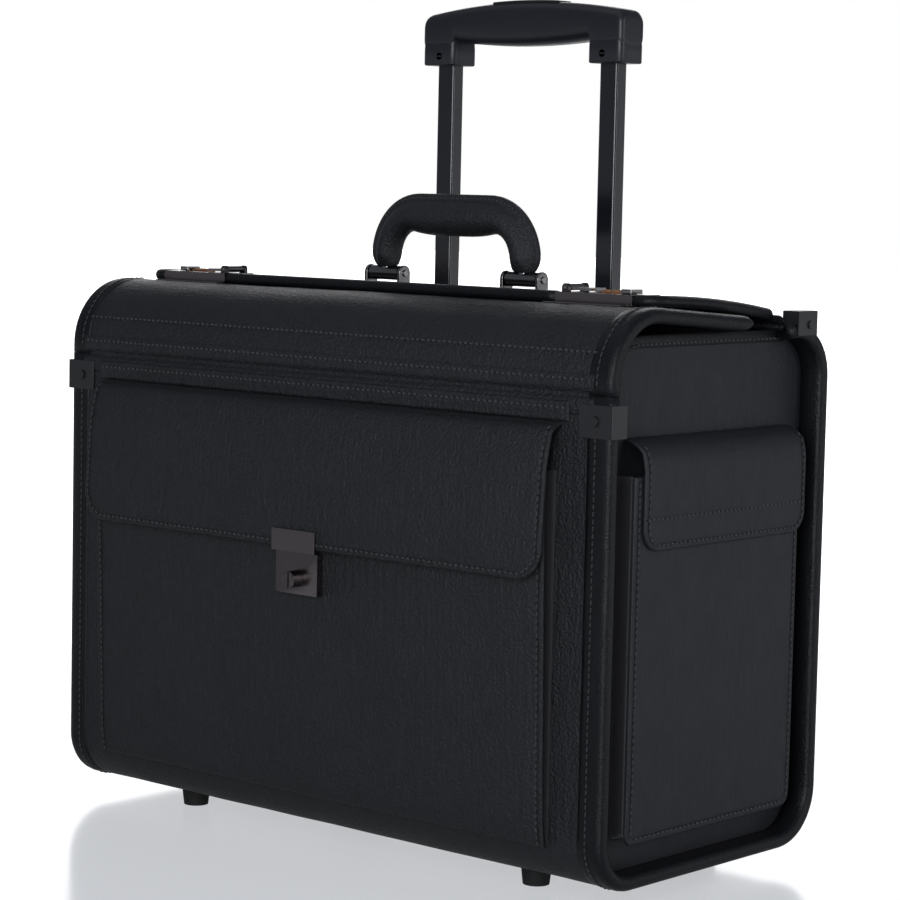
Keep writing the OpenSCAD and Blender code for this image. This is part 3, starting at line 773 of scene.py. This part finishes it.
LONG_RUN = [(-208.5, 61, 0), (-224, 61, 13), (-224, 180.5, 4)]
LONG_RUN += [(-x, y, r) for x, y, r in reversed(LONG_RUN)]
runs = (("rear_lid_frame_long", LONG_RUN), ("rear_lid_frame_front", [(-147.1, 61, 0), (147.1, 61, 0)]))
for name, plan in runs:
    pts, nrm = frame_run(plan)
    verts, faces = sweep(pts, nrm, (0, 0, 1), lambda i: BEAD)
    piece(name, verts, faces, BINDING, "rear_lid", "binding", ["rear_lid_frame"])

# Rear living hinge, from under the frame to the fixed strip
rear_rows = [
    (197.5, 352.3), (194, 352.9), (191, 353.2), (188.5, 353.4), (186.5, 354.2), (184.8, 356.0),
    (183, 357.4), (180, 358.2)]
xs = graded(-231.5, 231.5, 10)
outer = [[mm(x, y, z + ripple(x * MM, y * MM, 0.1)) for x in xs] for y, z in rear_rows]
inner = [[mm(x, y - (0.6 if 183 < y < 188 else 0), z - 1.1) for x in xs] for y, z in rear_rows]
hinge = piece("rear_lid_hinge_leather", *shell(outer, inner), LEATHER, None, "front_leather")
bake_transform(hinge)

# ---------- front pocket and flap ----------


POCKET_HALF, POCKET_BOTTOM, POCKET_TOP = 200, 38.5, 269


def pocket_depth(z):
    """Depth of the pocket panel's outer face, which leans out towards its top."""
    return -7 - 6.5 * (z - POCKET_BOTTOM) / (POCKET_TOP - POCKET_BOTTOM)


def on_pocket(z, x, out):
    return mm(x, pocket_depth(z) - out + 2.6 * math.exp(-(z - POCKET_BOTTOM) / 7), z)


slab("front_pocket_leather", graded(POCKET_BOTTOM, POCKET_TOP, 8), lambda z: (-POCKET_HALF, POCKET_HALF),
     on_pocket, 2.4, LEATHER, "case", "front_leather", ["front_pocket_panel"], puff=(1.3, 45), wave=0.5,
     seams=(4.2,), edge=0.8)


def fold_section(depth, fold, thick=1.1):
    """A V fold's section: out from 0 to depth, folded inwards by fold, as (side, normal) pairs."""
    ridge = [(depth * a, -fold * b) for a, b in ((0, 0), (0.25, 0.62), (0.5, 1), (0.75, 0.62), (1, 0))]
    return ridge + [(u, v - thick) for u, v in reversed(ridge)]


verts, faces = [], []
for side, k in SIDES:
    rows = graded(39.5, 267.5, 10)
    start = len(verts)
    for z in rows:
        depth = -pocket_depth(z) - 1.9
        fold = 1.2 + 4.6 * (z - POCKET_BOTTOM) / 230
        for u, v in fold_section(depth, fold):
            verts.append(mm(k * (199.3 + v), -u + 0.2, z))
    faces += shifted(tube_faces(len(rows), 10), start)
start = len(verts)
columns = graded(-196.5, 196.5, 14)
for x in columns:
    for u, v in fold_section(4.6, 0.8):
        verts.append(mm(x, -u + 0.2, 39.4 - v * 0.6))
faces += shifted(tube_faces(len(columns), 10), start)
piece("front_pocket_bellows", verts, faces, GUSSET, "case", "gusset_fabric", ["front_pocket_gussets"])

slab("welt_leather", graded(297.6, 310, 4), lambda z: (-208.5, 208.5), lambda z, x, out: mm(x, -2.0 - out, z),
     2.0, LEATHER, "case", "front_leather", ["front_welt_strip"], puff=(0.5, 3), wave=0.15, seams=(3.8,),
     edge=0.8)


def along(points, normals):
    """A function for the 2-D point at a length s along a profile, out mm off it, and the whole length."""
    lengths = np.concatenate([[0], np.cumsum(np.linalg.norm(np.diff(points, axis=0), axis=1))])

    def point(s, out):
        s = min(max(s, 0), lengths[-1])
        p, n = (np.array([np.interp(s, lengths, a[:, i]) for i in (0, 1)]) for a in (points, normals))
        return p + n / np.linalg.norm(n) * out
    return point, lengths[-1]


FLAP_PROFILE = [(-1.8, 297.4, 0), (-11.5, 293, 6), (-16.5, 272, 30), (-19.5, 225, 60), (-19.5, 202, 0)]
FLAP_HALF, FLAP_R = 203.5, 20
flap_point, FLAP_L = along(*rounded(FLAP_PROFILE, step=3, arc_step=math.radians(6)))


def on_flap(s, x, out):
    """A point out mm off the front flap, s mm down it from its hinge."""
    return mm(x, *flap_point(s, out))


def cornered(half, length, r):
    """The span of a flap that ends in two rounded corners."""
    def span(s):
        gap = length - s
        cut = r - math.sqrt(max(0, r * r - (r - gap) ** 2)) if gap < r else 0
        return -half + cut, half - cut
    return span


def flap_stops(length, step, r, count):
    """Stops down a flap, with count more of them in its rounded corners."""
    corner = [length - r * (1 - math.cos(a)) for a in np.linspace(0.1, 1.57, count)]
    return sorted(set(graded(0, length, step, extra=corner)))


flap = slab("front_flap_leather", flap_stops(FLAP_L, 7, FLAP_R, 9), cornered(FLAP_HALF, FLAP_L, FLAP_R),
            on_flap, 2.4, LEATHER, None, "front_leather", ["front_flap"], puff=(0.5, 30), wave=0.55,
            seams=(3.6,), edge=0.9)
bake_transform(flap)

# ---------- side pockets and flaps ----------


def side_span(z):
    cut = 8 - math.sqrt(max(0, 64 - (48 - z) ** 2)) if z < 48 else 0
    return 26 + cut, 198 - cut


SIDE_PROFILE = [(224, 287, 0), (228.5, 287, 4), (239.6, 281.6, 9), (242, 270, 12), (242, 219.3, 0)]
side_pts, side_nrm = rounded(SIDE_PROFILE, step=3, arc_step=math.radians(8))
side_point, SIDE_L = along(side_pts, -side_nrm)
# The side flaps' middle depth, half width and corner radius
SIDE_MID, SIDE_HALF, SIDE_R = 116.85, 84.15, 14


def side_flap_span(s):
    low, high = cornered(SIDE_HALF, SIDE_L, SIDE_R)(s)
    return SIDE_MID + low, SIDE_MID + high


side_places = {}
for side, k in SIDES:
    def on_side(z, y, out, k=k):
        return mm(k * (239 + out - 1.2 * math.exp(-(z - 40) / 8)), y, z)

    def on_side_flap(s, y, out, k=k):
        x, z = side_point(s, out)
        return mm(k * x, y, z)

    side_places[side] = (on_side, on_side_flap)
    slab(side + "_pocket_leather", graded(40, 265, 8, extra=(41, 42.5, 44.5, 47)), side_span, on_side, 2.4,
         SIDE_LEATHER, "case", "side_leather", [side + "_side_pocket"], puff=(1.0, 35), wave=0.4,
         seams=(4.0,), edge=0.8)
    obj = slab(side + "_flap_leather", flap_stops(SIDE_L, 6, SIDE_R, 8), side_flap_span, on_side_flap, 2.4,
               SIDE_LEATHER, None, "side_leather", [side + "_side_flap"], puff=(0.4, 25), wave=0.4,
               seams=(3.6,), edge=0.9)
    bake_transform(obj)

verts, faces = [], []
BELLOWS_PATH = [(27, 264.5, 0), (27, 41, 7), (197, 41, 7), (197, 264.5, 0)]
for side, k in SIDES:
    pts, nrm = rounded(BELLOWS_PATH, step=10, arc_step=math.radians(15))
    start, section = len(verts), fold_section(12.6, 4.2)
    for p, n in zip(pts, nrm):
        verts += [mm(k * (223.8 + u), *(p + n * v)) for u, v in section]
    faces += shifted(tube_faces(len(pts), len(section)), start)
piece("side_pocket_bellows", verts, faces, GUSSET, "case", "gusset_fabric", ["side_pocket_gussets"])

# ---------- inside ----------

pts, nrm = rounded([(5, 299, 0), (5, 18, 27), (186.5, 18, 2), (187.5, 24, 0)], step=9)
xs = graded(-218.4, 218.4, 10, extra=hole_xs)
outer = [[mm(x, *p) for x in xs] for p in pts - nrm * 0.1]
inner = []
for i, (p, n) in enumerate(zip(pts, nrm)):
    inner.append([mm(x, *(p - n * (1 + ripple(x * MM, i * 9 * MM, 0.2)))) for x in xs])


def lining_kept(i, j):
    return not in_hole((xs[j] + xs[j + 1]) / 2, *((pts[i] + pts[i + 1]) / 2))


piece("lining_band", *shell(outer, inner, lining_kept), LINING, "case", "lining", ["main_lining"])


def lining_span(z):
    low = 5 if z > 45 else 32 - math.sqrt(max(0, 27 ** 2 - (45 - z) ** 2))
    return low, 187


for side, k in SIDES:
    slab(side + "_lining", graded(18.2, 299, 10, extra=(20, 23, 27, 32, 38)), lining_span,
         lambda z, y, out, k=k: mm(k * (218.5 - out), y, z), 0.9, LINING, "case", "lining", wave=0.3, edge=0.2)

divider = slab("divider_pad", graded(18.8, 300, 8), lambda z: (-217.5, 217.5),
               lambda z, x, out: mm(x, 101.8 - out, z), 4.4, LINING, "case", "lining", ["padded_divider"],
               puff=(1.8, 9), back_puff=1.8, wave=0.4, edge=1.4, seams=(6,))

slab("trolley_cover", graded(17.4, 346, 9, extra=(WHEEL_TOP,)), lambda z: (-218.5, 218.5),
     lambda z, x, out: mm(x, 187.9 - out, z), 1.8, LINING, "case", "lining", ["trolley_cover_panel"],
     extra=hole_xs, wave=0.35, edge=0.5,
     keep=lambda z, x: not (WHEEL_IN < abs(x) < WHEEL_OUT and z < WHEEL_TOP))

# ---------- carry handle ----------

# Half of the roll's section in mm, from its sewn edge round to the middle of the roll, then its mirror image
TEARDROP = [
    (13.2, 1.3), (12.8, 2.3), (10.4, 2.7), (8.2, 3.2), (6.6, 5.2), (3.4, 8.6), (-1.0, 10.2), (-5.4, 9.0),
    (-8.8, 5.2), (-10.0, 0)]
TEARDROP += [(u, -v) for u, v in reversed(TEARDROP[:-1])]
LEG_X, BAR_Z = 61.5, 416.6
pins_lo, pins_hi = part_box("handle_pins")
PIVOT_Z = (pins_lo.z + pins_hi.z) / 2 / MM
HANDLE_PATH = [(LEG_X, PIVOT_Z + 3.4, 0), (LEG_X, BAR_Z, 30), (-LEG_X, BAR_Z, 30), (-LEG_X, PIVOT_Z + 3.4, 0)]
pts, nrm = rounded(HANDLE_PATH, step=4, arc_step=math.radians(5))
handle_pts = [mm(x, 130, z) for x, z in pts]
handle_nrm = [Vector((n[0], 0, n[1])) for n in nrm]


def handle_section(i):
    """The handle's section: thicker along the roll, and pinched between the ears at its two ends."""
    middle = math.exp(-((handle_pts[i].x / MM) / 42) ** 4)
    height = handle_pts[i].z / MM - PIVOT_Z
    pinch = min(1, max(0, (height - 3.4) / 9)) ** 0.7
    tall = 0.93 + 0.07 * pinch
    out = []
    for u, v in TEARDROP:
        grow = 1 + (0.58 * middle if u < 0 else 0.3 * middle if u < 7 else 0.02 * middle)
        v = v * (1 + 0.32 * middle * (abs(v) > 3)) * (0.42 + 0.58 * pinch)
        out.append((v, (u * grow if u < 7 else u * (0.7 + 0.3 * pinch)) * tall))
    return out


verts, faces = sweep(handle_pts, handle_nrm, (0, 1, 0), handle_section)
handle = piece("handle_roll", verts, faces, HANDLE_LEATHER, "carry_handle", "handle_leather", ["handle_grip"])
subdivide(handle)

lines = []
for s in (-1, 1):
    run = [(p, n) for p, n in zip(handle_pts, handle_nrm) if p.z / MM > PIVOT_Z + 13]
    points = [p + n * (10.3 * MM) + Vector((0, s * 2.55 * MM, 0)) for p, n in run]
    lines.append((points, [Vector((0, s, 0)) + n * 0.2 for p, n in run]))
stitches("handle_stitches", lines, "carry_handle", "handle_leather", pitch=3.6, length=2.3, width=0.5)

# ---------- stitches ----------


def front_row(z, half, out):
    """A level stitch row across the front."""
    xs = np.arange(-half, half + 1, 6)
    return [mm(x, -out, z) for x in xs], [Vector((0, -1, 0))] * len(xs)


def lid_row(z, half):
    """A stitch row across the lid's rounded front at height z."""
    rise = z - (LID_TOP - LID_R)
    y = LID_R - math.sqrt(LID_R ** 2 - rise ** 2)
    n = Vector((0, y - LID_R, rise)).normalized()
    xs = np.arange(-half, half + 1, 6)
    return [mm(x, y, z) + n * (0.12 * MM) for x in xs], [n] * len(xs)


def rim_row(path, x, out=0.45):
    """A stitch row along a rim's flange."""
    pts, nrm = path_yz(path, x, step=5, arc_step=math.radians(5))
    return [p + n * (out * MM) for p, n in zip(pts, nrm)], nrm


SEAM_X = HALF - 2.8
case_lines = [front_row(305.9, 207, 2.2)]
case_lines += [rim_row([(0, 308, 0)] + RIM_PATH[1:], k * SEAM_X) for k in (-1, 1)]
stitches("case_stitches", case_lines, "case")

lid_lines = [front_row(323.4, 224, 0.75), lid_row(339.5, 225)]
lid_lines += [rim_row([(56, LID_TOP, 0), (0, LID_TOP, LID_R), (0, 319.4, 0)], k * SEAM_X) for k in (-1, 1)]
stitches("front_lid_stitches", lid_lines, "front_lid")

pocket_sides = ([(POCKET_HALF, 268, 0), (POCKET_HALF, POCKET_BOTTOM, 0)],
                [(-POCKET_HALF, POCKET_BOTTOM, 0), (-POCKET_HALF, 268, 0)])
lines = [seam_line(on_pocket, o, -4.2, 0.1) for o in pocket_sides]


def flap_outline(half, length, r, start=6):
    return [(-half, start, 0), (-half, length, r), (half, length, r), (half, start, 0)]


flap_seam = seam_line(on_flap, flap_outline(FLAP_HALF, FLAP_L, FLAP_R), -3.6, 0.1)
stitches("front_flap_stitches", [flap_seam], "front_flap")
for side, k in SIDES:
    on_side, place = side_places[side]
    outline = [(v + SIDE_MID, u, r) for v, u, r in flap_outline(SIDE_HALF, SIDE_L, SIDE_R, 13)]
    rows = [seam_line(place, outline, -3.6, 0.1)]
    ys = np.arange(33.5, 201, 6)
    points = [place(SIDE_L - 19.7, y, 0.42) for y in ys]
    rows.append((points, [Vector((k, 0, 0))] * len(ys)))
    stitches(side + "_flap_stitches", rows, side + "_side_flap", "side_leather")
    lines += [seam_line(on_side, [(y, 262, 0), (y, 46, 0)], 0, 0.15) for y in (30, 194)]
    lines.append(seam_line(on_side, [(34, 44, 0), (190, 44, 0)], 0, 0.15))
    pts, nrm = path_yz(TAPE_PATH, k * 223.6, step=5)
    off_tape = Vector((k * 1.95 * MM, 0, 0))
    points = [p - n * (5.2 * MM) + off_tape for p, n in zip(pts, nrm)]
    lines.append((points, [Vector((k, 0, 0))] * len(pts)))
stitches("pocket_stitches", lines, "case", "side_leather")

# ---------- trolley grip ----------


GRIP_TOP, CROWN_R = 562.5, 522


def crown_z(x):
    return GRIP_TOP - CROWN_R + math.sqrt(CROWN_R ** 2 - x * x)


def belly_z(x):
    return 532.4 + 3.2 * (min(abs(x), 60) / 60) ** 2


def grip_ring(x, end):
    """The grip's section at x in (Y, Z): a rounded bar under the crown, with the button's recess.
    end is 0 along the bar and grows towards 1 on its closed ends."""
    top, bottom = crown_z(x), belly_z(x)
    if abs(x) > 60:
        bottom = belly_z(60) - min(1, (abs(x) - 60) / 3) * (belly_z(60) - 528)
    half, height = 13, (top - bottom) / 2
    corner = min(8.5, height - 0.6)
    mid, shrink = (top + bottom) / 2, 1 - end * 0.5
    brow = [half - corner + corner * math.cos(math.radians(a)) for a in (0, 18, 36, 54)]
    brow += [8.35, 8.2, 6.5, 4.5]
    ring = []
    for y in brow + [-y for y in reversed(brow)]:
        z = height - corner + math.sqrt(max(0, corner ** 2 - max(0, abs(y) - half + corner) ** 2))
        if abs(x) < 29.15 and abs(y) <= 8.2:
            z -= 5
        ring.append([TUBE_Y + y * shrink, mid + z * shrink])
    for cy, a0 in ((-1, 180), (1, 270)):
        for k in range(6):
            a = math.radians(a0 + 18 * k)
            y, z = cy * (half - corner) + corner * math.cos(a), corner - height + corner * math.sin(a)
            ring.append([TUBE_Y + y * shrink, mid + z * shrink])
    return ring


def grip_body():
    """Bar of the grip, closed and rounded at both ends."""
    inner = sorted([*np.linspace(-84, 84, 49), -60, -29.2, -29.1, 29.1, 29.2, 60])
    end = [(89.4, 0.9), (89.2, 0.5), (88.6, 0.26), (87.4, 0.1), (85.8, 0.03)]
    stations = [(-x, e) for x, e in end] + [(x, 0) for x in inner] + end[::-1]
    verts = []
    for x, end in stations:
        for y, z in grip_ring(x, end):
            verts.append(mm(x, y, z))
    return verts, tube_faces(len(stations), len(grip_ring(0, 0)))


def ferrule(k):
    """Sleeve at one end of the grip, over the tube's top."""
    rings = []
    for z, grow in ((519.6, -1.4), (519.8, -0.5), (520.6, 0), (531, 0), (536, -0.3), (545, -1.6)):
        section = round_section(29.6 + 2 * grow, 26 + 2 * grow, 4.6 + grow)
        rings.append([mm(k * 74.4 + u, TUBE_Y + v, z) for u, v in section])
    return [p for ring in rings for p in ring], tube_faces(len(rings), len(rings[0]))


verts, faces = grip_body()
for k in (-1, 1):
    more, more_faces = ferrule(k)
    faces += shifted(more_faces, len(verts))
    verts += more
piece("grip_body", verts, faces, PLASTIC, "upper_stage", "moulded_plastic", ["trolley_grip"])

# ---------- CAD parts that stay ----------

# Width in mm of the rounding on each part's edges
SOFTEN = {
    "front_lock_plate": 0.5, "front_corner_clips": 0.4, "rear_corner_clips": 0.6, "clip_rivets": 0.6,
    "outer_tubes": 0.4, "trolley_bezels": 0.8, "trolley_base_bracket": 0.5, "wheel_housings": 0.7,
    "wheel_axles": 0.4, "front_feet": 0.9, "lock_strikers": 0.25, "handle_brackets": 0.5, "lock_bases": 0.5,
    "dial_axles": 0.15, "handle_pins": 0.5, "handle_end_loops": 0.4, "left_lock_slider": 0.5,
    "right_lock_slider": 0.5, "left_hasp": 0.35, "right_hasp": 0.35, "front_flap_catch": 0.5,
    "front_lock_knob": 0.5, "middle_tubes": 0.25, "inner_tubes": 0.25, "grip_screws": 0.3,
    "release_button": 0.9, "left_wheel": 0.8, "right_wheel": 0.8,
}
slot_of = {part["node"]: part["material_slot"] for part in frame["record"]["subparts"]}
for name, obj in NODES.items():
    material = SLOT_MATERIAL[slot_of[name]]
    obj.data.materials.clear()
    obj.data.materials.append(material)
    if obj.hide_render:
        continue
    obj.data.polygons.foreach_set("use_smooth", [True] * len(obj.data.polygons))
    weld = obj.modifiers.new("weld", "WELD")
    weld.merge_threshold = 0.00002
    soften(obj, SOFTEN.get(name, 0.12) * MM, 2)

# ---------- camera, floor and light ----------

# The camera, fitted to the photograph's perspective: where it looks, how it is turned and where it stands
FORWARD = Vector((-0.65703, 0.74777, -0.09566)).normalized()
YAW, ROLL = math.radians(41.3), math.radians(1.23)
PLACE = (1.2429, -1.3881, 0.4376)
right = Vector((math.cos(YAW), math.sin(YAW), 0))
up = right.cross(FORWARD)
across = right * math.cos(ROLL) + up * math.sin(ROLL)
upward = up * math.cos(ROLL) - right * math.sin(ROLL)
cam_data = bpy.data.cameras.new("camera")
cam = bpy.data.objects.new("camera", cam_data)
bpy.context.scene.collection.objects.link(cam)
cam_data.lens, cam_data.sensor_width = 111.3, 36
turned = Matrix((across, upward, -FORWARD)).transposed()
cam.matrix_world = Matrix.Translation(PLACE) @ turned.to_4x4()
bpy.context.scene.camera = cam


def floor_material():
    """Glossy white studio floor. Its glow is for the camera and, dimmer, for reflections: it does not
    light the case."""
    n = Nodes("floor")
    rays = n.add("ShaderNodeLightPath").outputs
    seen, mirrored = rays["Is Camera Ray"], rays["Is Glossy Ray"]
    length = n.add("ShaderNodeVectorMath", operation="LENGTH")
    n.link(n.coords, length.inputs[0])
    glow = n.ramp(length.outputs["Value"], 0.52, 0.97, 0.45, 0.95)
    n.set(Specular_IOR_Level=0.5)
    n.shader.inputs["Base Color"].default_value = (0.30, 0.31, 0.33, 1)
    n.shader.inputs["Emission Color"].default_value = (0.95, 0.97, 1, 1)
    shown = n.math("ADD", seen, n.math("MULTIPLY", mirrored, 0.3))
    n.link(n.math("MULTIPLY", glow, shown), n.shader.inputs["Emission Strength"])
    n.link(n.ramp(n.noise(3, 2), 0.13, 0.17), n.shader.inputs["Roughness"])
    return n.mat


floor_mesh = bpy.data.meshes.new("floor")
floor_mesh.from_pydata([(-12, -12, 0), (12, -12, 0), (12, 12, 0), (-12, 12, 0)], [], [(0, 1, 2, 3)])
floor = bpy.data.objects.new("floor", floor_mesh)
bpy.context.scene.collection.objects.link(floor)
floor_mesh.materials.append(floor_material())

world = bpy.data.worlds.new("studio")
bpy.context.scene.world = world
world.use_nodes = True
tree = world.node_tree
# The camera sees white all over. For reflections and light it is dim but for a white backdrop, which lies
# the way the photograph looks
BACKDROP_WAY = (-0.647, 0.739, 0.187)
seen = tree.nodes.new("ShaderNodeLightPath")
way = tree.nodes.new("ShaderNodeTexCoord")
facing = tree.nodes.new("ShaderNodeVectorMath")
facing.operation = "DOT_PRODUCT"
facing.inputs[1].default_value = BACKDROP_WAY
tree.links.new(way.outputs["Generated"], facing.inputs[0])
near = tree.nodes.new("ShaderNodeMapRange")
near.interpolation_type = "SMOOTHSTEP"
near.inputs["From Min"].default_value = 0.925
near.inputs["From Max"].default_value = 0.973
tree.links.new(facing.outputs["Value"], near.inputs["Value"])
backdrop = tree.nodes.new("ShaderNodeMix")
backdrop.data_type = "RGBA"
backdrop.inputs["A"].default_value = (0.150, 0.157, 0.180, 1)
backdrop.inputs["B"].default_value = (1.8, 1.8, 1.8, 1)
tree.links.new(near.outputs["Result"], backdrop.inputs["Factor"])
mix = tree.nodes.new("ShaderNodeMix")
mix.data_type = "RGBA"
mix.inputs["B"].default_value = (1, 1, 1, 1)
tree.links.new(seen.outputs["Is Camera Ray"], mix.inputs["Factor"])
tree.links.new(backdrop.outputs["Result"], mix.inputs["A"])
tree.links.new(mix.outputs["Result"], tree.nodes["Background"].inputs["Color"])


def softbox(name, place, target, size, power, colour=(1, 1, 1)):
    """A rectangular area light at place, aimed at target."""
    data = bpy.data.lights.new(name, "AREA")
    data.shape = "RECTANGLE"
    data.size, data.size_y = size
    data.energy = power
    data.color = colour
    lamp = bpy.data.objects.new(name, data)
    bpy.context.scene.collection.objects.link(lamp)
    lamp.location = place
    lamp.rotation_euler = (Vector(target) - Vector(place)).to_track_quat("-Z", "Y").to_euler()


softbox("overhead", (-0.3, -0.5, 2.2), (0, 0, 0.2), (2.2, 1.2), 2)
softbox("key", (1.1, -1.7, 0.7), (0.05, 0, 0.2), (0.9, 1.2), 20, (0.95, 0.97, 1))
softbox("right_strip", (2.3, 0.6, 0.6), (0.2, 0, 0.2), (0.6, 1.4), 7.5, (0.94, 0.96, 1))
softbox("back_right", (1.7, 1.9, 0.3), (0.2, 0, 0.2), (1.2, 1.0), 1.2)
softbox("rim", (-0.8, 2.3, 1.3), (0, 0, 0.35), (1.6, 0.5), 3)
bpy.context.scene.view_settings.view_transform = "Standard"
